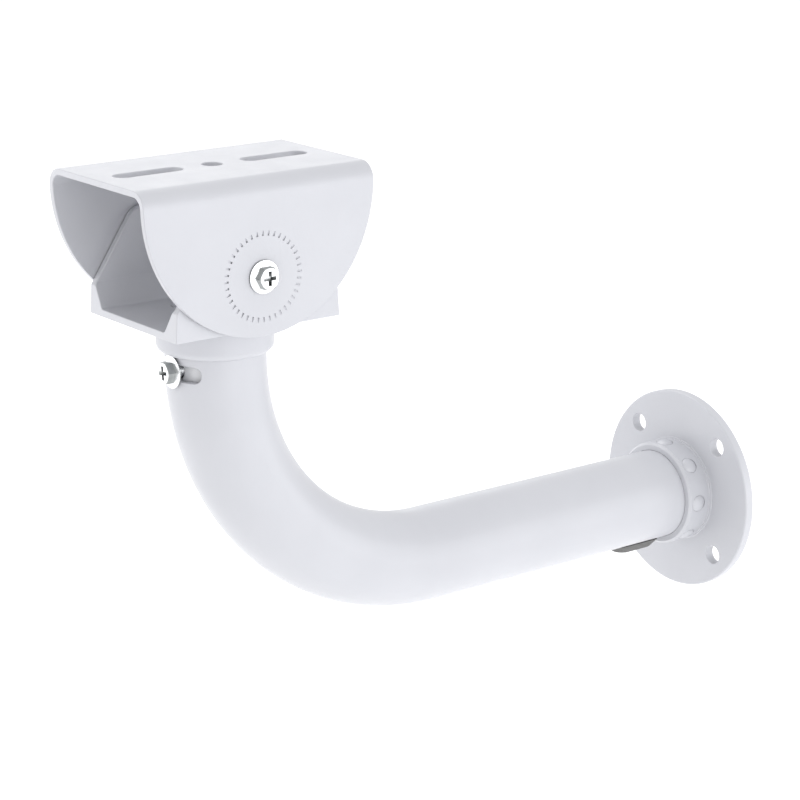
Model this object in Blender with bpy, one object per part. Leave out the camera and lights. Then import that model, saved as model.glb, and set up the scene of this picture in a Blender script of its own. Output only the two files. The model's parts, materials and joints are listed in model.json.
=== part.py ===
"""Security camera wall bracket: a wall flange, a bent tube, and a saddle that swivels and tilts.

The origin is the centre of the flange's back face. The wall is the plane y = 0, the arm runs
along -Y and turns up to +Z, and the camera stands on the upper saddle's top plate.
"""

import math

import bmesh
import bpy
from mathutils import Matrix, Vector

MM = 0.001
GAP = 0.3 * MM  # clearance between neighbouring pieces
OVERRUN = 1.0 * MM  # how far a cutter reaches past the material it cuts
OVERLAP = 0.2 * MM  # how far two solids that are joined reach into each other
CRISP_EDGE = math.radians(35)  # faces that meet at less than this are shaded as one surface

# Sides of the round shapes, and steps along the curved ones
FLANGE_SIDES = 48
TUBE_SIDES = 32
TURNED_SIDES = 24
HOLE_SIDES = 20
SMALL_SIDES = 12
GROOVE_SIDES = 72
TUBE_BEND_STEPS = 14
SLOT_STEPS = 8
CHEEK_STEPS = 28

# Wall flange and its collar
FLANGE_R = 45.0 * MM
FLANGE_THICK = 4.4 * MM
FLANGE_RIM_ROUND = 0.6 * MM
WALL_HOLE_R = 4.1 * MM
WALL_HOLE_CIRCLE_R = 35.5 * MM
WALL_HOLES = 4
COLLAR_R = 23.1 * MM
COLLAR_FRONT = 17.4 * MM  # from the wall
COLLAR_CHAMFER = 1.0 * MM
BASE_RING_R = 23.5 * MM
BASE_RING_LENGTH = 1.4 * MM

# Rivets through the collar and the tube
RIVETS = 8
RIVET_FROM_WALL = 12.1 * MM
RIVET_HEAD_R = 3.6 * MM
RIVET_DOME = 1.4 * MM
RIVET_SHANK_R = 1.6 * MM
RIVET_TAIL_R = 2.6 * MM
RIVET_TAIL = 0.8 * MM
RIVET_SEAT_DEPTH = 0.6 * MM  # spot face in the collar

# Arm tube
TUBE_R = 19.75 * MM
TUBE_WALL = 2.0 * MM
BORE_R = TUBE_R - TUBE_WALL
REACH = 252.5 * MM  # wall to swivel axis
BEND_R = 102.0 * MM
TUBE_TOP = 105.3 * MM
TUBE_SETBACK = 0.5 * MM

# Cable outlet in the tube's underside, and its grommet
OUTLET_FROM_WALL = 31.5 * MM
OUTLET_HALF_LENGTH = 11.5 * MM
OUTLET_HALF_WIDTH = 5.6 * MM
# The grommet's outline as (half-length, half-width, height), from its mouth to its top inside the tube
GROMMET_OUTLINE = (
    (10.4 * MM, 4.95 * MM, -22.7 * MM),
    (14.6 * MM, 9.15 * MM, -18.0 * MM),
    (13.4 * MM, 7.5 * MM, -14.2 * MM),
)
CABLE_HALF_LENGTH = 8.4 * MM
CABLE_HALF_WIDTH = 3.1 * MM

# Swivel: spigot, slot and lock screw
SPIGOT_COLLAR_R = 22.9 * MM
SPIGOT_COLLAR_HEIGHT = 13.0 * MM
SPIGOT_COLLAR_ROUND = 3.0 * MM
PLUG_R = 16.5 * MM
PLUG_BOTTOM = 90.0 * MM
PLUG_CHAMFER = 0.8 * MM
POCKET_R = 9.0 * MM
POCKET_TOP = 112.0 * MM
LOCK_HEIGHT = 99.2 * MM
SLOT_TIP_ANGLE = math.radians(40.5)
SLOT_HALF_HEIGHT = 3.2 * MM

# Lower saddle
SADDLE_HALF_WIDTH = 30.5 * MM
SADDLE_HALF_LENGTH = 37.2 * MM
SADDLE_SHOULDER_HALF_LENGTH = 36.4 * MM
SADDLE_SHOULDER = 11.1 * MM  # height of the upright part of each end
SADDLE_SHOULDER_ROUND = 1.0 * MM
SADDLE_CREST_HALF_LENGTH = 17.6 * MM
SADDLE_CREST_ROUND = 7.0 * MM
SADDLE_HEIGHT = 39.4 * MM
SADDLE_BASE = 2.9 * MM
SADDLE_WALL = 3.0 * MM
SADDLE_INNER_CHAMFER = (5.5 * MM, 9.4 * MM)
SPIGOT_SCREW_CIRCLE_R = 13.0 * MM
SPIGOT_SCREWS = 4
SPIGOT_SCREW_R = 2.0 * MM
SPIGOT_SCREW_HEAD_R = 3.8 * MM
SPIGOT_SCREW_LENGTH = 12.0 * MM
SPIGOT_SCREW_HOLE = 10.5 * MM  # depth in the spigot
SPIGOT_SCREW_SUNK = 0.1 * MM  # head below the saddle's floor
COUNTERSINK_R = 4.2 * MM

# Upper saddle, measured from the tilt axis
TILT_HEIGHT = 139.8 * MM
CHEEK_OUT = 33.3 * MM  # outer face of a cheek, from the middle
SHEET = 2.5 * MM
PLATE_TOP = 37.4 * MM
PLATE_HALF_LENGTH = 51.3 * MM
BEND_OUTER_R = 7.0 * MM
CHEEK_CENTRE = 31.7 * MM  # height where the half-ellipse starts
CHEEK_DEPTH = 54.6 * MM  # its vertical half-axis
CAMERA_HOLE_R = 4.0 * MM
CAMERA_SLOT_CENTRE = 28.3 * MM
CAMERA_SLOT_HALF_LENGTH = 14.8 * MM
CAMERA_SLOT_HALF_WIDTH = 4.0 * MM
INDEX_NOTCHES = 40
INDEX_INNER_R = 15.5 * MM
INDEX_OUTER_R = 17.4 * MM
INDEX_WIDTH = 0.8 * MM
INDEX_DEPTHS = (0.6 * MM, 0.2 * MM)  # at the inner and the outer end

# M6 flange screws and nuts
SCREW_R = 2.9 * MM
SCREW_HOLE_R = SCREW_R + GAP
SCREW_FLANGE_R = 6.5 * MM
SCREW_FLANGE = 1.2 * MM
SCREW_FLANGE_EDGE = 0.5 * MM
SCREW_TIP_CHAMFER = 0.5 * MM
HEX_ACROSS_FLATS = 8.0 * MM
HEX_TOP = 4.1 * MM
HEX_TOP_CHAMFER = 0.7 * MM
HEX_CORNER_CUT = 0.8 * MM  # how much the chamfer takes off each corner
CROSS_HALF_SPAN = 2.75 * MM
CROSS_HALF_WIDTH = 0.72 * MM
CROSS_DEPTH = 2.2 * MM
NUT_ACROSS_FLATS = 10.0 * MM
NUT_THICK = 5.0 * MM
TILT_SCREW_REACH = 13.1 * MM
LOCK_SCREW_REACH = 10.0 * MM
LOCK_SCREW_TURN = math.radians(7)  # the head is seen turned a little

# Worked out from the above
SPIGOT_BOTTOM = TUBE_TOP + GAP
SPIGOT_TOP = SPIGOT_BOTTOM + SPIGOT_COLLAR_HEIGHT
SADDLE_BOTTOM = SPIGOT_TOP + GAP
SADDLE_FLOOR = SADDLE_BOTTOM + SADDLE_BASE
SWIVEL_AXIS = Vector((0, -REACH, 0))
TILT_AXIS = Vector((0, -REACH, TILT_HEIGHT))


# ---------------------------------------------------------------- helpers

def clear_scene():
    for obj in list(bpy.data.objects):
        bpy.data.objects.remove(obj, do_unlink=True)


def material(name, colour, roughness, metallic):
    made = bpy.data.materials.new(name)
    made.use_nodes = True
    shader = made.node_tree.nodes["Principled BSDF"]
    shader.inputs["Base Color"].default_value = (*colour, 1)
    shader.inputs["Roughness"].default_value = roughness
    shader.inputs["Metallic"].default_value = metallic
    made.diffuse_color = (*colour, 1)
    return made


def empty(name, location, parent=None):
    made = bpy.data.objects.new(name, None)
    bpy.context.collection.objects.link(made)
    made.parent = parent
    made.location = location
    return made


def add_object(name, bm, look=None, parent=None, matrix=Matrix.Identity(4)):
    """Turns a bmesh into an object. The matrix places it under its parent."""
    bmesh.ops.remove_doubles(bm, verts=bm.verts, dist=1e-7)
    bmesh.ops.recalc_face_normals(bm, faces=bm.faces)
    mesh = bpy.data.meshes.new(name)
    bm.to_mesh(mesh)
    bm.free()
    made = bpy.data.objects.new(name, mesh)
    bpy.context.collection.objects.link(made)
    made.parent = parent
    made.matrix_local = matrix
    if look:
        mesh.materials.append(look)
    return made


def edge_shading():
    """A node group that shades smooth over gentle edges and leaves the others crisp."""
    group = bpy.data.node_groups.new("edge_shading", "GeometryNodeTree")
    group.interface.new_socket("Geometry", in_out="INPUT", socket_type="NodeSocketGeometry")
    group.interface.new_socket("Geometry", in_out="OUTPUT", socket_type="NodeSocketGeometry")
    start = group.nodes.new("NodeGroupInput")
    end = group.nodes.new("NodeGroupOutput")
    edge = group.nodes.new("GeometryNodeInputMeshEdgeAngle")
    gentle = group.nodes.new("FunctionNodeCompare")
    gentle.operation = "LESS_THAN"
    gentle.inputs[1].default_value = CRISP_EDGE
    faces = group.nodes.new("GeometryNodeSetShadeSmooth")
    edges = group.nodes.new("GeometryNodeSetShadeSmooth")
    edges.domain = "EDGE"
    group.links.new(start.outputs[0], faces.inputs["Geometry"])
    group.links.new(faces.outputs[0], edges.inputs["Geometry"])
    group.links.new(edge.outputs["Unsigned Angle"], gentle.inputs[0])
    group.links.new(gentle.outputs["Result"], edges.inputs["Shade Smooth"])
    group.links.new(edges.outputs[0], end.inputs[0])
    return group


def combine(target, name, bm, operation):
    """Cuts from, adds to or keeps part of the target with a hidden helper solid in its frame."""
    helper = add_object(name, bm, parent=target)
    helper.hide_render = True
    helper.display_type = "WIRE"
    modifier = target.modifiers.new(name, "BOOLEAN")
    modifier.operation = operation
    modifier.solver = "EXACT"
    modifier.object = helper
    return helper


def arc(centre, radius, start, end, steps):
    """Points on an arc, both ends included, with angles in radians."""
    angles = [start + (end - start) * i / steps for i in range(steps + 1)]
    return [(centre[0] + radius * math.cos(a), centre[1] + radius * math.sin(a)) for a in angles]


def obround(half_length, half_width, centre=(0, 0), steps=8):
    """A slot's outline, long along the second axis."""
    straight = half_length - half_width
    top = arc((centre[0], centre[1] + straight), half_width, 0, math.pi, steps)
    bottom = arc((centre[0], centre[1] - straight), half_width, math.pi, 2 * math.pi, steps)
    return top + bottom


def polygon(radius, sides, turn=0.0):
    return [
        (radius * math.cos(turn + math.tau * i / sides), radius * math.sin(turn + math.tau * i / sides))
        for i in range(sides)
    ]


def rounded(corners, steps=5):
    """An outline with round corners. Each corner is (u, v, radius), and a radius of 0 stays sharp."""
    outline = []
    for i, (u, v, radius) in enumerate(corners):
        here = Vector((u, v))
        if radius == 0:
            outline.append((u, v))
            continue
        back = (Vector(corners[i - 1][:2]) - here).normalized()
        ahead = (Vector(corners[(i + 1) % len(corners)][:2]) - here).normalized()
        half = back.angle(ahead) / 2
        middle = here + (back + ahead).normalized() * radius / math.sin(half)
        first = here + back * radius / math.tan(half) - middle
        last = here + ahead * radius / math.tan(half) - middle
        for step in range(steps + 1):
            outline.append(tuple(middle + first.slerp(last, step / steps) * radius))
    return outline


def join_rings(bm, first, second):
    for i in range(len(first)):
        j = (i + 1) % len(first)
        bm.faces.new((first[i], first[j], second[j], second[i]))


def add_loft(bm, levels, axis="Z"):
    """Joins outlines at rising distances along an axis. Each level is (outline, distance)."""
    place = {
        "X": lambda u, v, w: (w, u, v),
        "Y": lambda u, v, w: (u, w, v),
        "Z": lambda u, v, w: (u, v, w),
    }[axis]
    rings = [[bm.verts.new(place(u, v, distance)) for u, v in outline] for outline, distance in levels]
    for lower, upper in zip(rings, rings[1:]):
        join_rings(bm, lower, upper)
    bm.faces.new(rings[0])
    bm.faces.new(rings[-1])


def add_prism(bm, outline, low, high, axis="Z"):
    add_loft(bm, [(outline, low), (outline, high)], axis)


def add_turned(bm, profile, sides, matrix=Matrix.Identity(4), ring=False):
    """Turns a profile of (radius, height) points about Z. A ring's profile closes on itself."""
    loops = []
    for radius, height in profile:
        points = polygon(radius, sides) if radius > 0 else [(0, 0)]
        loops.append([bm.verts.new(matrix @ Vector((u, v, height))) for u, v in points])
    pairs = list(zip(loops, loops[1:] + loops[:1]))
    for lower, upper in pairs if ring else pairs[:-1]:
        for i in range(sides):
            j = (i + 1) % sides
            corners = [lower[i % len(lower)], lower[j % len(lower)]]
            corners += [upper[j % len(upper)], upper[i % len(upper)]]
            corners = list(dict.fromkeys(corners))
            if len(corners) > 2:
                bm.faces.new(corners)


def add_rod(bm, radius, low, high, sides, matrix=Matrix.Identity(4)):
    add_turned(bm, [(0, low), (radius, low), (radius, high), (0, high)], sides, matrix)


def turned(profile, sides, ring=False):
    bm = bmesh.new()
    add_turned(bm, profile, sides, ring=ring)
    return bm


def prism(outline, low, high, axis="Z"):
    bm = bmesh.new()
    add_prism(bm, outline, low, high, axis)
    return bm


def pointing(direction, location=(0, 0, 0)):
    """A matrix that turns +Z to a direction and moves to a location."""
    turn = Vector(direction).to_track_quat("Z", "Y").to_matrix().to_4x4()
    return Matrix.Translation(location) @ turn


# ---------------------------------------------------------------- wall flange and rivets

def rivet_matrix(index):
    """Out along a rivet, from the arm's axis."""
    angle = math.tau * index / RIVETS
    return pointing((math.cos(angle), 0, math.sin(angle)), (0, -RIVET_FROM_WALL, 0))


def wall_flange(look):
    bore = TUBE_R + GAP
    inner, face = FLANGE_R - FLANGE_RIM_ROUND, FLANGE_THICK
    profile = [
        (bore, 0),
        (inner, 0),
        (FLANGE_R, FLANGE_RIM_ROUND),
        (FLANGE_R, face - FLANGE_RIM_ROUND),
        (inner, face),
        (BASE_RING_R, face),
        (BASE_RING_R, face + BASE_RING_LENGTH),
        (COLLAR_R, face + BASE_RING_LENGTH),
        (COLLAR_R, COLLAR_FRONT - COLLAR_CHAMFER),
        (COLLAR_R - COLLAR_CHAMFER, COLLAR_FRONT),
        (bore, COLLAR_FRONT),
    ]
    bm = bmesh.new()
    add_turned(bm, profile, FLANGE_SIDES, pointing((0, -1, 0)), ring=True)
    flange = add_object("wall_flange", bm, look)

    holes = bmesh.new()
    for i in range(WALL_HOLES):
        angle = math.tau * (i + 0.5) / WALL_HOLES
        centre = Vector((math.cos(angle), 0, math.sin(angle))) * WALL_HOLE_CIRCLE_R
        place = pointing((0, -1, 0), centre)
        add_rod(holes, WALL_HOLE_R, -OVERRUN, FLANGE_THICK + OVERRUN, HOLE_SIDES, place)
    seat = COLLAR_R - RIVET_SEAT_DEPTH
    shank = RIVET_SHANK_R + GAP
    for i in range(RIVETS):
        stepped = [
            (0, TUBE_R - OVERRUN),
            (shank, TUBE_R - OVERRUN),
            (shank, seat),
            (RIVET_HEAD_R + GAP, seat),
            (RIVET_HEAD_R + GAP, COLLAR_R + OVERRUN),
            (0, COLLAR_R + OVERRUN),
        ]
        add_turned(holes, stepped, SMALL_SIDES, rivet_matrix(i))
    combine(flange, "wall_flange_holes", holes, "DIFFERENCE")


def collar_rivets(look):
    seat = COLLAR_R - RIVET_SEAT_DEPTH + GAP
    tail = BORE_R - GAP
    dome_r = (RIVET_HEAD_R ** 2 + RIVET_DOME ** 2) / (2 * RIVET_DOME)
    rim_angle = math.acos(RIVET_HEAD_R / dome_r)
    dome = arc((0, seat + RIVET_DOME - dome_r), dome_r, rim_angle, math.pi / 2, 3)
    profile = [
        (0, tail - RIVET_TAIL),
        (RIVET_TAIL_R, tail - RIVET_TAIL),
        (RIVET_TAIL_R, tail),
        (RIVET_SHANK_R, tail),
        (RIVET_SHANK_R, seat),
        *dome[:-1],
        (0, seat + RIVET_DOME),
    ]
    for i in range(RIVETS):
        rivet = turned(profile, SMALL_SIDES)
        add_object(f"collar_rivet_{i + 1}", rivet, look, matrix=rivet_matrix(i))


# ---------------------------------------------------------------- arm tube and grommet

def tube_rings(bm, radius):
    """Rings of vertices along the tube's middle line: out from the wall, round the bend and up."""
    stations = [(Vector((0, -TUBE_SETBACK, 0)), 0.0)]
    for i in range(TUBE_BEND_STEPS + 1):
        angle = math.pi / 2 * i / TUBE_BEND_STEPS
        out = REACH - BEND_R + BEND_R * math.sin(angle)
        stations.append((Vector((0, -out, BEND_R * (1 - math.cos(angle)))), angle))
    stations.append((Vector((0, -REACH, TUBE_TOP)), math.pi / 2))
    rings = []
    for centre, angle in stations:
        up = Vector((0, math.sin(angle), math.cos(angle)))
        spokes = [Vector((u, 0, 0)) + up * v for u, v in polygon(radius, TUBE_SIDES)]
        rings.append([bm.verts.new(centre + spoke) for spoke in spokes])
    return rings


def swivel_slot_cutter(bm):
    """A slot wrapped round the tube: an outline of angle and height, from inside the wall to outside."""
    reach = SLOT_TIP_ANGLE * TUBE_R
    inner, outer = BORE_R - OVERRUN, TUBE_R + OVERRUN
    outline = obround(reach, SLOT_HALF_HEIGHT, steps=6)
    steps = SLOT_STEPS
    right, left = outline[: len(outline) // 2], outline[len(outline) // 2:]
    straight = reach - SLOT_HALF_HEIGHT
    side = [(-SLOT_HALF_HEIGHT, straight - 2 * straight * i / steps) for i in range(1, steps)]
    back = [(SLOT_HALF_HEIGHT, -straight + 2 * straight * i / steps) for i in range(1, steps)]
    points = right + side + left + back

    def wrapped(radius):
        return [
            bm.verts.new((
                radius * math.sin(along / TUBE_R),
                -REACH - radius * math.cos(along / TUBE_R),
                LOCK_HEIGHT + height,
            ))
            for height, along in points
        ]

    near, far = wrapped(inner), wrapped(outer)
    join_rings(bm, near, far)
    bm.faces.new(near)
    bm.faces.new(far)
    bmesh.ops.triangulate(bm, faces=[f for f in bm.faces if len(f.verts) > 4])


def arm_tube(look):
    bm = bmesh.new()
    outside = tube_rings(bm, TUBE_R)
    inside = tube_rings(bm, BORE_R)
    for rings in (outside, inside):
        for first, second in zip(rings, rings[1:]):
            join_rings(bm, first, second)
    join_rings(bm, outside[0], inside[0])
    join_rings(bm, outside[-1], inside[-1])
    tube = add_object("arm_tube", bm, look)

    holes = bmesh.new()
    for i in range(RIVETS):
        ends = (BORE_R - OVERRUN, TUBE_R + OVERRUN)
        add_rod(holes, RIVET_SHANK_R + GAP, *ends, SMALL_SIDES, rivet_matrix(i))
    outlet = obround(OUTLET_HALF_LENGTH, OUTLET_HALF_WIDTH, (0, -OUTLET_FROM_WALL))
    add_prism(holes, outlet, -TUBE_R - OVERRUN, -BORE_R / 2)
    swivel_slot_cutter(holes)
    combine(tube, "arm_tube_holes", holes, "DIFFERENCE")


def cable_grommet(look):
    """An obround rubber ring that tapers to its mouth. The tube's wall sits in the groove round its neck."""
    middle = (0, -OUTLET_FROM_WALL)
    body = bmesh.new()
    add_loft(body, [(obround(length, width, middle), height) for length, width, height in GROMMET_OUTLINE])
    grommet = add_object("cable_grommet", body, look)

    groove = bmesh.new()
    ends = (OUTLET_FROM_WALL - 2 * OUTLET_HALF_LENGTH, OUTLET_FROM_WALL + 2 * OUTLET_HALF_LENGTH)
    inner, outer = BORE_R - GAP, TUBE_R + GAP
    profile = [(inner, ends[0]), (outer, ends[0]), (outer, ends[1]), (inner, ends[1])]
    add_turned(groove, profile, GROOVE_SIDES, pointing((0, -1, 0)), ring=True)
    wall = combine(grommet, "grommet_groove", groove, "DIFFERENCE")
    neck = obround(OUTLET_HALF_LENGTH - GAP, OUTLET_HALF_WIDTH - GAP, middle)
    combine(wall, "grommet_neck", prism(neck, -2 * TUBE_R, 0), "DIFFERENCE")
    opening = obround(CABLE_HALF_LENGTH, CABLE_HALF_WIDTH, middle)
    combine(grommet, "grommet_opening", prism(opening, -2 * TUBE_R, 0), "DIFFERENCE")


# ---------------------------------------------------------------- screws and nuts

def screw(name, length, look, parent, matrix):
    """A hexagon flange screw with a cross recess. Its origin is under the flange, and +Z leaves the head."""
    profile = [
        (0, -length),
        (SCREW_R - SCREW_TIP_CHAMFER, -length),
        (SCREW_R, -length + SCREW_TIP_CHAMFER),
        (SCREW_R, 0),
        (SCREW_FLANGE_R, 0),
        (SCREW_FLANGE_R, SCREW_FLANGE_EDGE),
        (HEX_ACROSS_FLATS / 2 + OVERLAP, SCREW_FLANGE),
        (0, SCREW_FLANGE),
    ]
    made = add_object(name, turned(profile, TURNED_SIDES), look, parent, matrix)
    hexagon = bmesh.new()
    corner = HEX_ACROSS_FLATS / math.sqrt(3)
    shoulder = HEX_TOP - HEX_TOP_CHAMFER
    add_prism(hexagon, polygon(corner, 6), SCREW_FLANGE_EDGE, shoulder)
    combine(made, f"{name}_hexagon", hexagon, "UNION")
    crown = bmesh.new()
    small = polygon(corner - HEX_CORNER_CUT, 6)
    add_loft(crown, [(polygon(corner, 6), shoulder - OVERLAP), (small, HEX_TOP)])
    combine(made, f"{name}_crown", crown, "UNION")
    floor = HEX_TOP - CROSS_DEPTH
    s, w = CROSS_HALF_SPAN, CROSS_HALF_WIDTH
    plus = [(s, w), (w, w), (w, s), (-w, s), (-w, w), (-s, w)]
    plus += [(-u, -v) for u, v in plus]
    combine(made, f"{name}_cross", prism(plus, floor, HEX_TOP + OVERRUN), "DIFFERENCE")
    return made


def nut(name, look, parent, matrix):
    hexagon = polygon(NUT_ACROSS_FLATS / math.sqrt(3), 6)
    made = add_object(name, prism(hexagon, 0, NUT_THICK), look, parent, matrix)
    hole = bmesh.new()
    add_rod(hole, SCREW_HOLE_R, -OVERRUN, NUT_THICK + OVERRUN, HOLE_SIDES)
    combine(made, f"{name}_hole", hole, "DIFFERENCE")


# ---------------------------------------------------------------- swivel head

def spigot_screw_places():
    for i in range(SPIGOT_SCREWS):
        angle = math.tau * (i + 0.5) / SPIGOT_SCREWS
        yield SPIGOT_SCREW_CIRCLE_R * math.cos(angle), SPIGOT_SCREW_CIRCLE_R * math.sin(angle)


def swivel_spigot(look, swivel):
    """A round collar on the tube's end, with a hollow plug that turns inside the tube."""
    foot = SPIGOT_COLLAR_R - SPIGOT_COLLAR_ROUND
    edge = arc(
        (foot, SPIGOT_BOTTOM + SPIGOT_COLLAR_ROUND), SPIGOT_COLLAR_ROUND, -math.pi / 2, 0, 5
    )
    profile = [
        (0, POCKET_TOP),
        (POCKET_R, POCKET_TOP),
        (POCKET_R, PLUG_BOTTOM),
        (PLUG_R - PLUG_CHAMFER, PLUG_BOTTOM),
        (PLUG_R, PLUG_BOTTOM + PLUG_CHAMFER),
        (PLUG_R, SPIGOT_BOTTOM),
        *edge,
        (SPIGOT_COLLAR_R, SPIGOT_TOP),
        (0, SPIGOT_TOP),
    ]
    spigot = add_object("swivel_spigot", turned(profile, TUBE_SIDES), look, swivel)
    holes = bmesh.new()
    ends = (SPIGOT_TOP - SPIGOT_SCREW_HOLE, SPIGOT_TOP + OVERRUN)
    for x, y in spigot_screw_places():
        place = Matrix.Translation((x, y, 0))
        add_rod(holes, SPIGOT_SCREW_R + GAP, *ends, SMALL_SIDES, place)
    across = pointing((0, -1, 0), (0, 0, LOCK_HEIGHT))
    add_rod(holes, SCREW_HOLE_R, POCKET_R / 2, PLUG_R + OVERRUN, HOLE_SIDES, across)
    combine(spigot, "swivel_spigot_holes", holes, "DIFFERENCE")


def spigot_screws(look, swivel):
    """Countersunk screws, their 90 degree heads just under the saddle's floor."""
    top = SADDLE_FLOOR - SPIGOT_SCREW_SUNK
    profile = [
        (0, top - SPIGOT_SCREW_LENGTH),
        (SPIGOT_SCREW_R, top - SPIGOT_SCREW_LENGTH),
        (SPIGOT_SCREW_R, top - SPIGOT_SCREW_HEAD_R + SPIGOT_SCREW_R),
        (SPIGOT_SCREW_HEAD_R, top),
        (0, top),
    ]
    for i, (x, y) in enumerate(spigot_screw_places()):
        place = Matrix.Translation((x, y, 0))
        add_object(f"spigot_screw_{i + 1}", turned(profile, TURNED_SIDES), look, swivel, place)


def lower_saddle(look, swivel):
    """A channel along Y with thick inner corners. Its ends stand upright, then slant back to a crest."""
    w, wall = SADDLE_HALF_WIDTH, SADDLE_WALL
    over, up = SADDLE_INNER_CHAMFER
    crest = SADDLE_BOTTOM + SADDLE_HEIGHT
    half = [
        (w, SADDLE_BOTTOM),
        (w, crest),
        (w - wall, crest),
        (w - wall, SADDLE_FLOOR + up),
        (w - wall - over, SADDLE_FLOOR),
    ]
    section = half + [(-x, z) for x, z in reversed(half)]
    end = SADDLE_HALF_LENGTH + OVERRUN
    saddle = add_object("lower_saddle", prism(section, -end, end, "Y"), look, swivel)
    side = [
        (SADDLE_HALF_LENGTH, SADDLE_BOTTOM - OVERRUN, 0),
        (SADDLE_SHOULDER_HALF_LENGTH, SADDLE_BOTTOM + SADDLE_SHOULDER, SADDLE_SHOULDER_ROUND),
        (SADDLE_CREST_HALF_LENGTH, crest, SADDLE_CREST_ROUND),
    ]
    silhouette = rounded(side + [(-u, v, r) for u, v, r in reversed(side)])
    outside = w + OVERRUN
    combine(saddle, "lower_saddle_side", prism(silhouette, -outside, outside, "X"), "INTERSECT")

    holes = bmesh.new()
    for side_sign in (-1, 1):
        out = pointing((side_sign, 0, 0), (0, 0, TILT_HEIGHT))
        add_rod(holes, SCREW_HOLE_R, w - wall - OVERRUN, outside, HOLE_SIDES, out)
    shank = SPIGOT_SCREW_R + GAP
    countersunk = [
        (0, SADDLE_BOTTOM - OVERRUN),
        (shank, SADDLE_BOTTOM - OVERRUN),
        (shank, SADDLE_FLOOR - COUNTERSINK_R + shank),
        (COUNTERSINK_R + OVERRUN, SADDLE_FLOOR + OVERRUN),
        (0, SADDLE_FLOOR + OVERRUN),
    ]
    for x, y in spigot_screw_places():
        add_turned(holes, countersunk, TURNED_SIDES, Matrix.Translation((x, y, 0)))
    combine(saddle, "lower_saddle_holes", holes, "DIFFERENCE")


# ---------------------------------------------------------------- upper saddle

def index_notches(bm, side):
    """A ring of short ramped grooves in a cheek's outer face, deepest at their inner ends."""
    for i in range(INDEX_NOTCHES):
        angle = math.tau * i / INDEX_NOTCHES
        along = Vector((0, math.cos(angle), math.sin(angle)))
        across = Vector((0, -math.sin(angle), math.cos(angle))) * INDEX_WIDTH / 2
        corners = []
        for radius, depth in zip((INDEX_INNER_R, INDEX_OUTER_R), INDEX_DEPTHS):
            for x in (CHEEK_OUT - depth, CHEEK_OUT + OVERRUN):
                middle = along * radius + Vector((side * x, 0, 0))
                corners += [bm.verts.new(middle - across), bm.verts.new(middle + across)]
        a, b, c, d, e, f, g, h = corners
        for face in ((a, b, d, c), (e, f, h, g), (a, b, f, e), (c, d, h, g), (a, c, g, e), (b, d, h, f)):
            bm.faces.new(face)


def upper_saddle(look, tilt):
    """Bent sheet: a top plate, and two cheeks that end in a half-ellipse below the tilt axis."""
    low = CHEEK_CENTRE - CHEEK_DEPTH - OVERRUN
    inside = CHEEK_OUT - SHEET
    section = rounded([
        (CHEEK_OUT, low, 0),
        (CHEEK_OUT, PLATE_TOP, BEND_OUTER_R),
        (-CHEEK_OUT, PLATE_TOP, BEND_OUTER_R),
        (-CHEEK_OUT, low, 0),
        (-inside, low, 0),
        (-inside, PLATE_TOP - SHEET, BEND_OUTER_R - SHEET),
        (inside, PLATE_TOP - SHEET, BEND_OUTER_R - SHEET),
        (inside, low, 0),
    ])
    end, outside, top = PLATE_HALF_LENGTH, CHEEK_OUT + OVERRUN, PLATE_TOP + OVERRUN
    sheet = prism(section, -end - OVERRUN, end + OVERRUN, "Y")
    saddle = add_object("upper_saddle", sheet, look, tilt)
    curve = [math.pi * (1 + i / CHEEK_STEPS) for i in range(CHEEK_STEPS + 1)]
    side = [(end * math.cos(a), CHEEK_CENTRE + CHEEK_DEPTH * math.sin(a)) for a in curve]
    side += [(end, top), (-end, top)]
    combine(saddle, "upper_saddle_side", prism(side, -outside, outside, "X"), "INTERSECT")

    holes = bmesh.new()
    bottom = PLATE_TOP - SHEET - OVERRUN
    add_rod(holes, CAMERA_HOLE_R, bottom, top, HOLE_SIDES)
    for middle in (-CAMERA_SLOT_CENTRE, CAMERA_SLOT_CENTRE):
        slot = obround(CAMERA_SLOT_HALF_LENGTH, CAMERA_SLOT_HALF_WIDTH, (0, middle))
        add_prism(holes, slot, bottom, top)
    for side_sign in (-1, 1):
        out = pointing((side_sign, 0, 0))
        add_rod(holes, SCREW_HOLE_R, inside - OVERRUN, outside, HOLE_SIDES, out)
        index_notches(holes, side_sign)
    combine(saddle, "upper_saddle_holes", holes, "DIFFERENCE")


def tilt_fasteners(look, swivel):
    """One screw and one nut on each side. They stay with the lower saddle while the cheeks turn on them."""
    inner_wall = SADDLE_HALF_WIDTH - SADDLE_WALL
    for name, side in (("right", 1), ("left", -1)):
        head = (side * (CHEEK_OUT + GAP), 0, TILT_HEIGHT)
        screw(f"tilt_screw_{name}", TILT_SCREW_REACH, look, swivel, pointing((side, 0, 0), head))
        seat = (side * (inner_wall - GAP), 0, TILT_HEIGHT)
        nut(f"tilt_nut_{name}", look, swivel, pointing((-side, 0, 0), seat))


def swivel_lock_screw(look, swivel):
    place = pointing((0, -1, 0), (0, -TUBE_R - GAP, LOCK_HEIGHT))
    turn = Matrix.Rotation(LOCK_SCREW_TURN, 4, "Z")
    screw("swivel_lock_screw", LOCK_SCREW_REACH, look, swivel, place @ turn)


# ---------------------------------------------------------------- assembly

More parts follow.
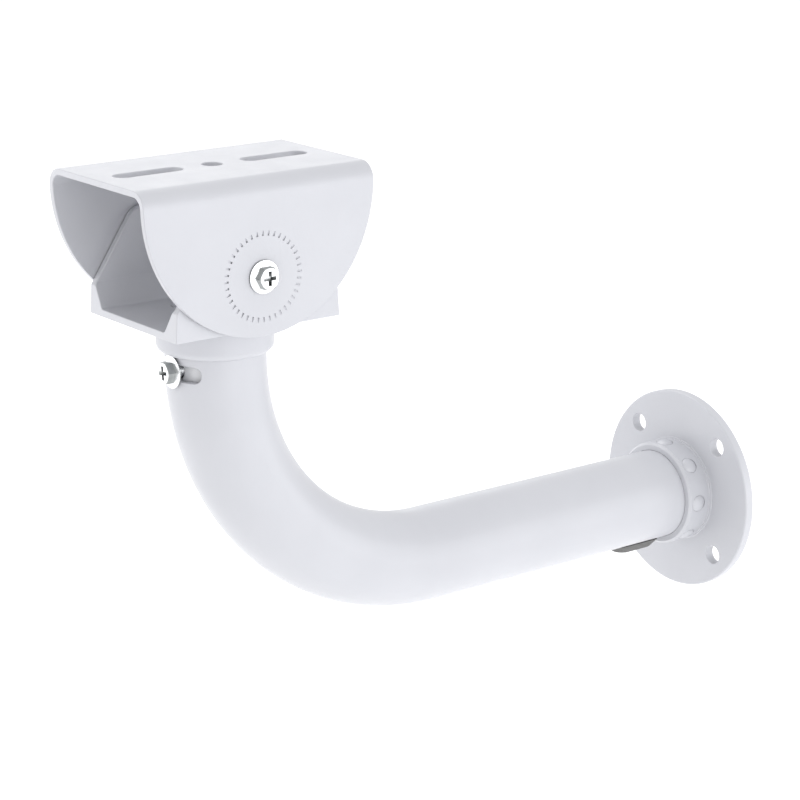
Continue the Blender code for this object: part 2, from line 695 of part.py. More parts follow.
def main():
    clear_scene()
    powder_coat = material("white_powder_coat", (0.82, 0.82, 0.86), 0.38, 0.0)
    plated_steel = material("zinc_plated_steel", (0.78, 0.79, 0.80), 0.25, 1.0)
    rubber = material("grey_rubber", (0.16, 0.16, 0.17), 0.7, 0.0)
    wall_flange(powder_coat)
    collar_rivets(powder_coat)
    arm_tube(powder_coat)
    cable_grommet(rubber)
    swivel = empty("swivel_axis", SWIVEL_AXIS)
    swivel_spigot(powder_coat, swivel)
    spigot_screws(plated_steel, swivel)
    lower_saddle(powder_coat, swivel)
    tilt_fasteners(plated_steel, swivel)
    swivel_lock_screw(plated_steel, swivel)
    tilt = empty("tilt_axis", TILT_AXIS - SWIVEL_AXIS, swivel)
    upper_saddle(powder_coat, tilt)
    shading = edge_shading()
    for node in bpy.data.objects:
        if node.type == "MESH" and not node.hide_render:
            node.modifiers.new("edge_shading", "NODES").node_group = shading


main()
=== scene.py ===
"""Security camera wall bracket: the finished pieces, materials, lights and camera.

The frame gives the main sizes. The wall is the plane y = 0, the arm runs along -Y and turns up
to +Z, and everything is in metres.
"""

import json
import math

import bmesh
import bpy
from mathutils import Matrix, Vector

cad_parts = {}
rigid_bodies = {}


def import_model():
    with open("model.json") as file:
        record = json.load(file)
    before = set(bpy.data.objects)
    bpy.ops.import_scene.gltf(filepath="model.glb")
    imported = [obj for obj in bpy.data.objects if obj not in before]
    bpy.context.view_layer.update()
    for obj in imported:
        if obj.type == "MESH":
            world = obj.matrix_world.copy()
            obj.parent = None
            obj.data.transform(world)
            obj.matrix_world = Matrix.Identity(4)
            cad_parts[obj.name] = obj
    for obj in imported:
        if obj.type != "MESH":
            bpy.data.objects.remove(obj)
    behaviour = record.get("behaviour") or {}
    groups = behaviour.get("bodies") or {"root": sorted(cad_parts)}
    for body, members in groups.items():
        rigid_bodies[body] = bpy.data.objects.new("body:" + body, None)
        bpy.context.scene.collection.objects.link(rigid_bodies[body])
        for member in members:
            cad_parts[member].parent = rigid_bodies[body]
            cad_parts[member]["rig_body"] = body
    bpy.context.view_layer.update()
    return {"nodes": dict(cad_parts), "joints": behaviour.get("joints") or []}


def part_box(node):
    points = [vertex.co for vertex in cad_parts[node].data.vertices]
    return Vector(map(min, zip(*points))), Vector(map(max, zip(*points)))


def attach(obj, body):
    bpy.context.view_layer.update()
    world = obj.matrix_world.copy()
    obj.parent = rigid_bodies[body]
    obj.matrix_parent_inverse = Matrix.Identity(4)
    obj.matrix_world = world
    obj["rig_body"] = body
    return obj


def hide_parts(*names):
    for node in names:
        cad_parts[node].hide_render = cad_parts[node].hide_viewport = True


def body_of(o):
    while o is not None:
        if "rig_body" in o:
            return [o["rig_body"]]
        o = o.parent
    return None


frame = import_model()

MM = 0.001
GAP = 0.3 * MM  # clearance between neighbouring pieces
SEAM = 0.06 * MM  # what shows of a clearance from outside
OVERRUN = 1.0 * MM  # how far a cutter reaches past the material it cuts
CRISP_EDGE = math.radians(32)  # faces that meet at less than this are shaded as one surface
SIDES = 144  # of the large round shapes
SMALL_SIDES = 64
TINY_SIDES = 40

# ---------------------------------------------------------------- sizes

JOINTS = {joint["name"]: Vector(joint["pos_m"]) for joint in frame["joints"]}
REACH = -JOINTS["swivel"].y
TILT_AXIS = JOINTS["tilt"]
LOCK_HEIGHT = JOINTS["swivel_lock"].z

# Wall flange and collar
low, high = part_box("wall_flange")
FLANGE_R = high.x
COLLAR_FRONT = -low.y
FLANGE_THICK = 4.4 * MM
WALL_HOLE_R = 4.1 * MM
WALL_HOLE_CIRCLE_R = 35.5 * MM
WALL_HOLE_LIP = 0.25 * MM
COLLAR_R = 23.1 * MM
COLLAR_CHAMFER = 1.0 * MM
BASE_RING_R = 23.5 * MM
BASE_RING_LENGTH = 1.4 * MM
RIVETS = 8
RIVET_FROM_WALL = 12.1 * MM
RIVET_HEAD_R = 3.6 * MM
RIVET_DOME = 1.4 * MM
RIVET_HEAD_EDGE = 0.1 * MM  # the upright edge below the dome
RIVET_SHANK_R = 1.6 * MM
RIVET_TAIL_R = 2.6 * MM
RIVET_TAIL = 0.8 * MM
RIVET_SEAT_DEPTH = 0.6 * MM

# Arm tube and grommet
low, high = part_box("arm_tube")
TUBE_R = high.x
TUBE_TOP = high.z
TUBE_SETBACK = -high.y
TUBE_WALL = 2.0 * MM
BORE_R = TUBE_R - TUBE_WALL
TUBE_LIP = 0.12 * MM
BORE_LIP = 0.3 * MM
BEND_R = 102.0 * MM
BEND_STEPS = 72
SLOT_TIP_ANGLE = math.radians(40.5)
SLOT_HALF_HEIGHT = 3.2 * MM
SLOT_LIP = 0.35 * MM
OUTLET_FROM_WALL = 31.5 * MM
OUTLET_HALF = (11.5 * MM, 5.6 * MM)
CABLE_HALF = (8.4 * MM, 3.1 * MM)
CABLE_FLARE = 1.0 * MM
# The grommet's outlines from its mouth up, as half-length, half-width and height in millimetres
GROMMET_OUTLINES = (
    (10.1, 4.65, -22.7),
    (10.55, 5.1, -22.4),
    (14.6, 9.15, -18.0),
    (13.4, 7.5, -14.2),
)

# Spigot
low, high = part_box("swivel_spigot")
SPIGOT_COLLAR_R = high.x
SPIGOT_TOP = high.z
PLUG_BOTTOM = low.z
SPIGOT_BOTTOM = TUBE_TOP + SEAM
SPIGOT_COLLAR_ROUND = 3.0 * MM
PLUG_R = 16.5 * MM
POCKET_R = 9.0 * MM
POCKET_TOP = 112.0 * MM
SPIGOT_SCREW_CIRCLE_R = 13.0 * MM
SPIGOT_SCREW_R = 2.0 * MM
SPIGOT_SCREW_HEAD_R = 3.8 * MM
SPIGOT_SCREW_LENGTH = 12.0 * MM
SPIGOT_SCREW_SUNK = 0.1 * MM
SPIGOT_SCREW_HOLE = 10.5 * MM
COUNTERSINK_R = 4.2 * MM

# Lower saddle
low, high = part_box("lower_saddle")
SADDLE_HALF_WIDTH = high.x
SADDLE_HALF_LENGTH = (high.y - low.y) / 2
SADDLE_BOTTOM = low.z
SADDLE_SHOULDER_HALF_LENGTH = 36.4 * MM
SADDLE_SHOULDER = 11.1 * MM
SADDLE_CREST_HALF_LENGTH = 17.6 * MM
SADDLE_HEIGHT = 39.4 * MM
SADDLE_FLOOR = SADDLE_BOTTOM + 2.9 * MM
SADDLE_WALL = 3.0 * MM
SADDLE_INNER_CHAMFER = (5.5 * MM, 9.4 * MM)

# Upper saddle, measured from the tilt axis
low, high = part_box("upper_saddle")
CHEEK_OUT = high.x
PLATE_TOP = high.z - TILT_AXIS.z
PLATE_HALF_LENGTH = (high.y - low.y) / 2
SHEET = 2.5 * MM
BEND_OUTER_R = 7.0 * MM
CHEEK_CENTRE = 31.7 * MM
CHEEK_DEPTH = 54.6 * MM
CHEEK_STEPS = 120
CAMERA_HOLE_R = 4.0 * MM
CAMERA_SLOT_CENTRE = 28.3 * MM
CAMERA_SLOT_HALF = (14.8 * MM, 4.0 * MM)
CAMERA_HOLE_LIP = 0.25 * MM
INDEX_NOTCHES = 40
INDEX_RADII = (15.5 * MM, 17.4 * MM)
INDEX_WIDTH = 0.8 * MM
INDEX_DEPTHS = (0.6 * MM, 0.2 * MM)

# M6 flange screws and nuts
SCREW_R = 2.9 * MM
SCREW_HOLE_R = SCREW_R + GAP
SCREW_HOLE_LIP = 0.2 * MM
SCREW_FLANGE_R = 6.5 * MM
SCREW_FLANGE = 1.2 * MM
SCREW_FLANGE_EDGE = 0.5 * MM
HEX_ACROSS_FLATS = 8.0 * MM
HEX_TOP = 4.1 * MM
HEX_TOP_CHAMFER = 0.25 * MM
HEX_CROWN_R = 4.2 * MM
HEX_CROWN_ROUND = 0.2 * MM
CROSS_TOP = (2.75 * MM, 0.72 * MM)  # half-span and half-width at the mouth
CROSS_FLOOR = (1.7 * MM, 0.55 * MM)
CROSS_DEPTH = 2.2 * MM
NUT_ACROSS_FLATS = 10.0 * MM
NUT_THICK = 5.0 * MM
NUT_CHAMFER = 0.6 * MM
THREAD_PITCH = 1.0 * MM
THREAD_DEPTH = 0.5 * MM
THREAD_SIDES = 48
THREAD_ROWS = 8  # in one pitch
TILT_SCREW_REACH = 13.1 * MM
LOCK_SCREW_REACH = 10.0 * MM
LOCK_SCREW_TURN = math.radians(7)


# ---------------------------------------------------------------- outlines

def arc(centre, radius, start, end, steps):
    """Points on an arc, both ends included, with angles in radians."""
    angles = [start + (end - start) * i / steps for i in range(steps + 1)]
    return [(centre[0] + radius * math.cos(a), centre[1] + radius * math.sin(a)) for a in angles]


def circle(radius, sides):
    return arc((0, 0), radius, 0, math.tau * (sides - 1) / sides, sides - 1)


def obround(half_length, half_width, centre=(0, 0), steps=24, straights=1):
    """A slot's outline, long along the second axis, with its straight sides in equal steps."""
    reach = half_length - half_width
    top = arc((centre[0], centre[1] + reach), half_width, 0, math.pi, steps)
    bottom = arc((centre[0], centre[1] - reach), half_width, math.pi, math.tau, steps)
    between = [reach - 2 * reach * i / straights for i in range(1, straights)]
    down = [(centre[0] - half_width, centre[1] + v) for v in between]
    up = [(centre[0] + half_width, centre[1] - v) for v in between]
    return top + down + bottom + up


def rounded(corners, steps=8):
    """An outline with round corners, each (u, v, radius). A radius of 0 stays sharp."""
    outline = []
    for i, (u, v, radius) in enumerate(corners):
        here = Vector((u, v))
        if radius == 0:
            outline.append((u, v))
            continue
        back = (Vector(corners[i - 1][:2]) - here).normalized()
        ahead = (Vector(corners[(i + 1) % len(corners)][:2]) - here).normalized()
        half = back.angle(ahead) / 2
        middle = here + (back + ahead).normalized() * radius / math.sin(half)
        first = here + back * radius / math.tan(half) - middle
        last = here + ahead * radius / math.tan(half) - middle
        for step in range(steps + 1):
            outline.append(tuple(middle + first.slerp(last, step / steps) * radius))
    return outline


# ---------------------------------------------------------------- meshes

def join_rings(bm, first, second):
    for i in range(len(first)):
        j = (i + 1) % len(first)
        bm.faces.new((first[i], first[j], second[j], second[i]))


def loft(levels, axis="Z", bm=None):
    """Joins outlines at rising distances along an axis. Each level is (outline, distance)."""
    bm = bm or bmesh.new()
    place = {
        "X": lambda u, v, w: (w, u, v),
        "Y": lambda u, v, w: (u, w, v),
        "Z": lambda u, v, w: (u, v, w),
    }[axis]
    rings = [
        [bm.verts.new(place(u, v, distance)) for u, v in outline] for outline, distance in levels
    ]
    for lower, upper in zip(rings, rings[1:]):
        join_rings(bm, lower, upper)
    bm.faces.new(rings[0])
    bm.faces.new(rings[-1])
    return bm


def prism(outline, low, high, axis="Z", bm=None):
    return loft([(outline, low), (outline, high)], axis, bm)


def turned(profile, sides, matrix=Matrix.Identity(4), ring=False, bm=None):
    """Turns a profile of (radius, height) points about Z. A ring's profile closes on itself."""
    bm = bm or bmesh.new()
    loops = []
    for radius, height in profile:
        points = circle(radius, sides) if radius > 0 else [(0, 0)]
        loops.append([bm.verts.new(matrix @ Vector((u, v, height))) for u, v in points])
    pairs = list(zip(loops, loops[1:] + loops[:1]))
    for lower, upper in pairs if ring else pairs[:-1]:
        for i in range(sides):
            j = (i + 1) % sides
            corners = [lower[i % len(lower)], lower[j % len(lower)]]
            corners += [upper[j % len(upper)], upper[i % len(upper)]]
            corners = list(dict.fromkeys(corners))
            if len(corners) > 2:
                bm.faces.new(corners)
    return bm


def rod(radius, low, high, sides, matrix=Matrix.Identity(4), bm=None):
    return turned([(0, low), (radius, low), (radius, high), (0, high)], sides, matrix, bm=bm)


def lipped_hole(radius, low, high, lip, sides, matrix=Matrix.Identity(4), bm=None):
    """A cutter for a hole from low to high whose two edges come out bevelled."""
    profile = [
        (0, low - OVERRUN),
        (radius + lip + OVERRUN, low - OVERRUN),
        (radius, low + lip),
        (radius, high - lip),
        (radius + lip + OVERRUN, high + OVERRUN),
        (0, high + OVERRUN),
    ]
    return turned(profile, sides, matrix, bm=bm)


def pointing(direction, location=(0, 0, 0)):
    """A matrix that turns +Z to a direction and moves to a location."""
    turn = Vector(direction).to_track_quat("Z", "Y").to_matrix().to_4x4()
    return Matrix.Translation(location) @ turn


def add_object(name, bm):
    bmesh.ops.remove_doubles(bm, verts=bm.verts, dist=1e-7)
    bmesh.ops.recalc_face_normals(bm, faces=bm.faces)
    mesh = bpy.data.meshes.new(name)
    bm.to_mesh(mesh)
    bm.free()
    made = bpy.data.objects.new(name, mesh)
    bpy.context.scene.collection.objects.link(made)
    return made


def settle(obj):
    """Makes what the modifiers give the object's own mesh."""
    graph = bpy.context.evaluated_depsgraph_get()
    mesh = bpy.data.meshes.new_from_object(obj.evaluated_get(graph), depsgraph=graph)
    spent = obj.data
    obj.modifiers.clear()
    obj.data = mesh
    bpy.data.meshes.remove(spent)


def combine(obj, bm, operation):
    """Cuts from, adds to or keeps part of an object's mesh."""
    helper = add_object("helper", bm)
    modifier = obj.modifiers.new("combine", "BOOLEAN")
    modifier.operation = operation
    modifier.solver = "EXACT"
    modifier.object = helper
    settle(obj)
    bpy.data.meshes.remove(helper.data)


def soften(obj, width, segments=3):
    """Rounds every sharp edge."""
    bm = bmesh.new()
    bm.from_mesh(obj.data)
    bmesh.ops.remove_doubles(bm, verts=bm.verts, dist=0.01 * MM)
    bmesh.ops.dissolve_limit(bm, angle_limit=math.radians(0.2), verts=bm.verts, edges=bm.edges)
    bm.to_mesh(obj.data)
    bm.free()
    modifier = obj.modifiers.new("soften", "BEVEL")
    modifier.width = width
    modifier.segments = segments
    modifier.angle_limit = CRISP_EDGE
    settle(obj)


def finished(obj, node, look, flat_faces=True):
    """Shades the piece, gives it its material and puts it in the CAD node's place."""
    obj.data.shade_smooth()
    obj.data.set_sharp_from_angle(angle=CRISP_EDGE)
    if flat_faces:
        weighted = obj.modifiers.new("flat_faces", "WEIGHTED_NORMAL")
        weighted.keep_sharp = True
        settle(obj)
    obj.data.name = obj.name
    obj.data.materials.clear()
    obj.data.materials.append(look)
    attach(obj, body_of(frame["nodes"][node])[0])
    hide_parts(node)


# ---------------------------------------------------------------- materials

# Colours are linear. Each look has a dark and a light tone, and a darker colour painted into its
# tight corners as painted shade.
COAT_DARK = (0.518, 0.523, 0.553)
COAT_LIGHT = (0.538, 0.543, 0.573)
COAT_PAINTED_SHADE = (0.26, 0.258, 0.265)
COAT_ROUGHNESS = (0.30, 0.40)
COAT_GLOSS = 0.15
COAT_GLOSS_ROUGHNESS = 0.12
COAT_IOR = 1.5
COAT_CREVICE = 1.5 * MM
COAT_MOTTLE = 30 * MM
COAT_HAZE = 9 * MM
COAT_PEEL = (2.4 * MM, 0.030 * MM)  # size across and depth
COAT_GRAIN = (0.45 * MM, 0.006 * MM)
# Painted light: the plug's tones are paler than the coat, to brighten the plug where it shows in
# the shaded slot
PLUG_DARK = (0.74, 0.745, 0.765)
PLUG_LIGHT = (0.79, 0.795, 0.815)
PLUG_PAINTED_SHADE = (0.62, 0.62, 0.635)
ZINC_DARK = (0.80, 0.81, 0.82)
ZINC_LIGHT = (0.90, 0.91, 0.92)
ZINC_PAINTED_SHADE = (0.35, 0.35, 0.34)
ZINC_ROUGHNESS = (0.16, 0.30)
ZINC_CREVICE = 0.9 * MM
ZINC_CLOUD = 3 * MM
ZINC_WIPING = (0.5 * MM, 0.006 * MM)
ZINC_DIMPLES = (1.2 * MM, 0.010 * MM)
# A darker copy of the zinc, painted as shade on the sides, flange rim and recess of the screw heads
SHADED_SIDE_DARK = (0.36, 0.375, 0.37)
SHADED_SIDE_LIGHT = (0.44, 0.455, 0.45)
SIDE_PAINTED_SHADE = (0.12, 0.12, 0.12)
SIDE_ROUGHNESS = (0.30, 0.42)
RUBBER_DARK = (0.098, 0.097, 0.095)
RUBBER_LIGHT = (0.130, 0.129, 0.127)
RUBBER_ROUGHNESS = (0.55, 0.75)
RUBBER_BLOOM = 4 * MM
RUBBER_GRAIN = (0.3 * MM, 0.02 * MM)


def shader_nodes(name):
    made = bpy.data.materials.new(name)
    made.use_nodes = True
    tree = made.node_tree
    place = tree.nodes.new("ShaderNodeTexCoord").outputs["Object"]
    return made, tree, tree.nodes["Principled BSDF"], place


def noise(tree, place, size, detail=2.0, roughness=0.5, stretch=None):
    """Noise whose features are about the given size across."""
    if stretch:
        mapping = tree.nodes.new("ShaderNodeMapping")
        mapping.inputs["Scale"].default_value = stretch
        tree.links.new(place, mapping.inputs["Vector"])
        place = mapping.outputs["Vector"]
    made = tree.nodes.new("ShaderNodeTexNoise")
    made.inputs["Scale"].default_value = 1 / size
    made.inputs["Detail"].default_value = detail
    made.inputs["Roughness"].default_value = roughness
    tree.links.new(place, made.inputs["Vector"])
    return made.outputs["Fac"]


def spread(tree, factor, low, high, start=0.3, end=0.7):
    """Turns a factor between start and end into a value between low and high."""
    made = tree.nodes.new("ShaderNodeMapRange")
    made.inputs["From Min"].default_value = start
    made.inputs["From Max"].default_value = end
    made.inputs["To Min"].default_value = low
    made.inputs["To Max"].default_value = high
    tree.links.new(factor, made.inputs["Value"])
    return made.outputs["Result"]


def blend_colours(tree, factor, first, second):
    made = tree.nodes.new("ShaderNodeMix")
    made.data_type = "RGBA"
    tree.links.new(factor, made.inputs["Factor"])
    for socket, colour in ((made.inputs["A"], first), (made.inputs["B"], second)):
        if isinstance(colour, tuple):
            socket.default_value = (*colour, 1)
        else:
            tree.links.new(colour, socket)
    return made.outputs["Result"]


def bumps(tree, shader, layers):
    """Adds height layers, each (factor, depth), one over another."""
    normal = None
    for factor, depth in layers:
        bump = tree.nodes.new("ShaderNodeBump")
        bump.inputs["Distance"].default_value = depth
        tree.links.new(factor, bump.inputs["Height"])
        if normal:
            tree.links.new(normal, bump.inputs["Normal"])
        normal = bump.outputs["Normal"]
    tree.links.new(normal, shader.inputs["Normal"])


def crevices(tree, distance):
    """1 on open faces, falling to 0 in tight corners."""
    made = tree.nodes.new("ShaderNodeAmbientOcclusion")
    made.inputs["Distance"].default_value = distance
    made.samples = 8
    return made.outputs["AO"]


def powder_coat(name, dark, light, corner_shade):
    """Gloss white powder coat: orange peel, fine grain, faint mottling, and painted shade in the
    corners.
    """
    made, tree, shader, place = shader_nodes(name)
    mottle = spread(tree, noise(tree, place, COAT_MOTTLE, 4), 0, 1)
    paint = blend_colours(tree, mottle, dark, light)
    # Painted shade: ambient occlusion blends the paint towards a darker colour in tight corners
    corner = spread(tree, crevices(tree, COAT_CREVICE), 1, 0, 0.05, 0.42)
    tree.links.new(blend_colours(tree, corner, paint, corner_shade), shader.inputs["Base Color"])
    peel = noise(tree, place, COAT_PEEL[0], 1)
    grain = noise(tree, place, COAT_GRAIN[0], 3, 0.6)
    haze = spread(tree, noise(tree, place, COAT_HAZE, 5), *COAT_ROUGHNESS)
    tree.links.new(haze, shader.inputs["Roughness"])
    bumps(tree, shader, [(peel, COAT_PEEL[1]), (grain, COAT_GRAIN[1])])
    shader.inputs["IOR"].default_value = COAT_IOR
    shader.inputs["Coat Weight"].default_value = COAT_GLOSS
    shader.inputs["Coat Roughness"].default_value = COAT_GLOSS_ROUGHNESS
    return made


def plated(name, dark, light, corner_shade, roughness):
    """Zinc plating: cloudy brightness, fine wiping marks, and painted shade in the corners."""
    made, tree, shader, place = shader_nodes(name)
    cloud = spread(tree, noise(tree, place, ZINC_CLOUD, 4), 0, 1)
    metal = blend_colours(tree, cloud, dark, light)
    # Painted shade: ambient occlusion blends the metal towards a darker colour in tight corners
    corner = spread(tree, crevices(tree, ZINC_CREVICE), 1, 0, 0.2, 0.8)
    tree.links.new(blend_colours(tree, corner, metal, corner_shade), shader.inputs["Base Color"])
    shader.inputs["Metallic"].default_value = 1.0
    wiped = noise(tree, place, ZINC_WIPING[0], 3, 0.6, (1, 1, 0.15))
    tree.links.new(spread(tree, wiped, *roughness), shader.inputs["Roughness"])
    dimples = noise(tree, place, ZINC_DIMPLES[0])
    bumps(tree, shader, [(wiped, ZINC_WIPING[1]), (dimples, ZINC_DIMPLES[1])])
    return made


def grommet_rubber():
    """Matte grey rubber with a fine moulded grain, paler where it has been handled."""
    made, tree, shader, place = shader_nodes("grommet_rubber")
    bloom = spread(tree, noise(tree, place, RUBBER_BLOOM, 4), 0, 1)
    rubber_colour = blend_colours(tree, bloom, RUBBER_DARK, RUBBER_LIGHT)
    tree.links.new(rubber_colour, shader.inputs["Base Color"])
    grain = noise(tree, place, RUBBER_GRAIN[0], 3, 0.7)
    tree.links.new(spread(tree, grain, *RUBBER_ROUGHNESS), shader.inputs["Roughness"])
    bumps(tree, shader, [(grain, RUBBER_GRAIN[1])])
    return made


coat = powder_coat("powder_coat", COAT_DARK, COAT_LIGHT, COAT_PAINTED_SHADE)
# Painted light: a paler copy of the powder coat for the plug inside the slot
plug_coat_painted_light = powder_coat("powder_coat_plug_painted_light", PLUG_DARK, PLUG_LIGHT, PLUG_PAINTED_SHADE)
rubber = grommet_rubber()
zinc = plated("zinc_plate", ZINC_DARK, ZINC_LIGHT, ZINC_PAINTED_SHADE, ZINC_ROUGHNESS)
# Painted shade: a darker copy of the plating for the screw heads' side faces and recesses
painted_shade_zinc = plated("zinc_plate_painted_shade", SHADED_SIDE_DARK, SHADED_SIDE_LIGHT, SIDE_PAINTED_SHADE, SIDE_ROUGHNESS)


# ---------------------------------------------------------------- wall flange and rivets

def rivet_matrix(index):
    """Out along a rivet, from the arm's axis."""
    angle = math.tau * index / RIVETS
    return pointing((math.cos(angle), 0, math.sin(angle)), (0, -RIVET_FROM_WALL, 0))


def wall_flange():
    bore = TUBE_R + SEAM
    ring = FLANGE_THICK + BASE_RING_LENGTH
    profile = rounded([
        (bore, 0, 0.2 * MM),
        (FLANGE_R, 0, 0.6 * MM),
        (FLANGE_R, FLANGE_THICK, 0.8 * MM),
        (BASE_RING_R, FLANGE_THICK, 0.4 * MM),
        (BASE_RING_R, ring, 0.2 * MM),
        (COLLAR_R, ring, 0.15 * MM),
        (COLLAR_R, COLLAR_FRONT - COLLAR_CHAMFER, 0.15 * MM),
        (COLLAR_R - COLLAR_CHAMFER, COLLAR_FRONT, 0.15 * MM),
        (bore, COLLAR_FRONT, 0.12 * MM),
    ], 5)
    flange = add_object("flange", turned(profile, SIDES, pointing((0, -1, 0)), ring=True))
    holes = bmesh.new()
    for i in range(4):
        angle = math.tau * (i + 0.5) / 4
        centre = Vector((math.cos(angle), 0, math.sin(angle))) * WALL_HOLE_CIRCLE_R
        place = pointing((0, -1, 0), centre)
        lipped_hole(WALL_HOLE_R, 0, FLANGE_THICK, WALL_HOLE_LIP, SMALL_SIDES, place, holes)
    seat, shank = COLLAR_R - RIVET_SEAT_DEPTH, RIVET_SHANK_R + GAP
    for i in range(RIVETS):
        stepped = [
            (0, TUBE_R - OVERRUN),
            (shank, TUBE_R - OVERRUN),
            (shank, seat),
            (RIVET_HEAD_R + 2 * SEAM, seat),
            (RIVET_HEAD_R + 2 * SEAM, COLLAR_R + OVERRUN),
            (0, COLLAR_R + OVERRUN),
        ]
        turned(stepped, TINY_SIDES, rivet_matrix(i), bm=holes)
    combine(flange, holes, "DIFFERENCE")
    finished(flange, "wall_flange", coat)


def collar_rivets():
    seat = COLLAR_R - RIVET_SEAT_DEPTH + GAP
    tail = BORE_R - GAP
    rise = RIVET_DOME - RIVET_HEAD_EDGE
    dome_r = (RIVET_HEAD_R ** 2 + rise ** 2) / (2 * rise)
    rim_angle = math.acos(RIVET_HEAD_R / dome_r)
    dome = arc((0, seat + RIVET_DOME - dome_r), dome_r, rim_angle, math.pi / 2, 12)
    profile = [
        (0, tail - RIVET_TAIL),
        (RIVET_TAIL_R, tail - RIVET_TAIL),
        (RIVET_TAIL_R, tail),
        (RIVET_SHANK_R, tail),
        (RIVET_SHANK_R, seat),
        (RIVET_HEAD_R, seat),
        *dome[:-1],
        (0, seat + RIVET_DOME),
    ]
    for i in range(RIVETS):
        rivet = add_object(f"rivet_{i + 1}", turned(profile, TINY_SIDES, rivet_matrix(i)))
        finished(rivet, f"collar_rivet_{i + 1}", coat)


# ---------------------------------------------------------------- arm tube and grommet

def tube_stations():
    """Places along the tube's middle line, as (centre, angle turned up from the wall)."""
    stations = [(Vector((0, -TUBE_SETBACK, 0)), 0.0)]
    straight = REACH - BEND_R
    stations += [(Vector((0, -straight * i / 12, 0)), 0.0) for i in range(1, 12)]
    for i in range(BEND_STEPS + 1):
        angle = math.pi / 2 * i / BEND_STEPS
        out = straight + BEND_R * math.sin(angle)
        stations.append((Vector((0, -out, BEND_R * (1 - math.cos(angle)))), angle))
    stations.append((Vector((0, -REACH, TUBE_TOP)), math.pi / 2))
    return stations


def tube_skin(bm, radius, lip):
    """The tube's outer or inner surface. The lip bevels its two ends, inwards or outwards."""
    stations = tube_stations()
    rings = []
    for i, (centre, angle) in enumerate(stations):
        along = Vector((0, -math.cos(angle), math.sin(angle)))
        up = Vector((0, math.sin(angle), math.cos(angle)))
        levels = [(radius, 0)]
        if i == 0:
            levels = [(radius - lip, 0), (radius, abs(lip))]
        elif i == len(stations) - 1:
            levels = [(radius, -abs(lip)), (radius - lip, 0)]
        for r, shift in levels:
            spokes = [Vector((u, 0, 0)) + up * v + along * shift for u, v in circle(r, SIDES)]
            rings.append([bm.verts.new(centre + spoke) for spoke in spokes])
    for first, second in zip(rings, rings[1:]):
        join_rings(bm, first, second)
    return rings


def swivel_slot_cutter(bm):
    """A slot wrapped round the tube, flared at the outer surface."""
    def wrapped(radius, grow):
        half_length, half_height = SLOT_TIP_ANGLE * TUBE_R + grow, SLOT_HALF_HEIGHT + grow
        outline = obround(half_length, half_height, steps=20, straights=48)
        return [
            bm.verts.new((
                radius * math.sin(along / TUBE_R),
                -REACH - radius * math.cos(along / TUBE_R),
                LOCK_HEIGHT + height,
            ))
            for height, along in outline
        ]

    levels = [
        wrapped(BORE_R - OVERRUN, 0),
        wrapped(TUBE_R - SLOT_LIP, 0),
        wrapped(TUBE_R + OVERRUN, SLOT_LIP + OVERRUN),
    ]
    for inner, outer in zip(levels, levels[1:]):
        join_rings(bm, inner, outer)
    bm.faces.new(levels[0])
    bm.faces.new(levels[-1])
    bmesh.ops.triangulate(bm, faces=[f for f in bm.faces if len(f.verts) > 4])


def arm_tube():
    bm = bmesh.new()
    outside = tube_skin(bm, TUBE_R, TUBE_LIP)
    inside = tube_skin(bm, BORE_R, -BORE_LIP)
    join_rings(bm, outside[0], inside[0])
    join_rings(bm, outside[-1], inside[-1])
    tube = add_object("arm", bm)
    holes = bmesh.new()
    ends = (BORE_R - OVERRUN, TUBE_R + OVERRUN)
    for i in range(RIVETS):
        rod(RIVET_SHANK_R + GAP, *ends, TINY_SIDES, rivet_matrix(i), holes)
    outlet = obround(*OUTLET_HALF, (0, -OUTLET_FROM_WALL))
    prism(outlet, -TUBE_R - OVERRUN, -BORE_R / 2, bm=holes)
    swivel_slot_cutter(holes)
    combine(tube, holes, "DIFFERENCE")
    finished(tube, "arm_tube", coat, flat_faces=False)


def cable_grommet():
    """An obround rubber ring that tapers to its mouth, with the tube's wall in its groove."""
    middle = (0, -OUTLET_FROM_WALL)
    levels = [
        (obround(length * MM, width * MM, middle), height * MM)
        for length, width, height in GROMMET_OUTLINES
    ]
    grommet = add_object("cable_bush", loft(levels))
    mouth = levels[0][1]
    inner, outer = BORE_R - GAP, TUBE_R + GAP
    ends = (OUTLET_FROM_WALL - 2 * OUTLET_HALF[0], OUTLET_FROM_WALL + 2 * OUTLET_HALF[0])
    profile = [(inner, ends[0]), (outer, ends[0]), (outer, ends[1]), (inner, ends[1])]
    wall = add_object("wall", turned(profile, SIDES, pointing((0, -1, 0)), ring=True))
    neck = obround(OUTLET_HALF[0] - GAP, OUTLET_HALF[1] - GAP, middle)
    combine(wall, prism(neck, -2 * TUBE_R, 0), "DIFFERENCE")
    groove = bmesh.new()
    groove.from_mesh(wall.data)
    bpy.data.meshes.remove(wall.data)
    combine(grommet, groove, "DIFFERENCE")
    bore = obround(*CABLE_HALF, middle)
    flared = obround(*(half + 3 * CABLE_FLARE for half in CABLE_HALF), middle)
    opening = [(flared, mouth - 2 * CABLE_FLARE), (bore, mouth + CABLE_FLARE), (bore, 0)]
    combine(grommet, loft(opening), "DIFFERENCE")
    finished(grommet, "cable_grommet", rubber)


# ---------------------------------------------------------------- screws and nuts

def plus(half_span, half_width):
    s, w = half_span, half_width
    half = [(s, w), (w, w), (w, s), (-w, s), (-w, w), (-s, w)]
    return half + [(-u, -v) for u, v in half]


def cross_recess(top, depth, scale=1.0):
    """A driver recess that narrows to its floor."""
    mouth = plus(CROSS_TOP[0] * scale, CROSS_TOP[1] * scale)
    floor = plus(CROSS_FLOOR[0] * scale, CROSS_FLOOR[1] * scale)
    above = plus(*(2 * a - b for a, b in zip(CROSS_TOP, CROSS_FLOOR)))
    above = [(u * scale, v * scale) for u, v in above]
    return loft([(floor, top - depth), (mouth, top), (above, top + depth)])


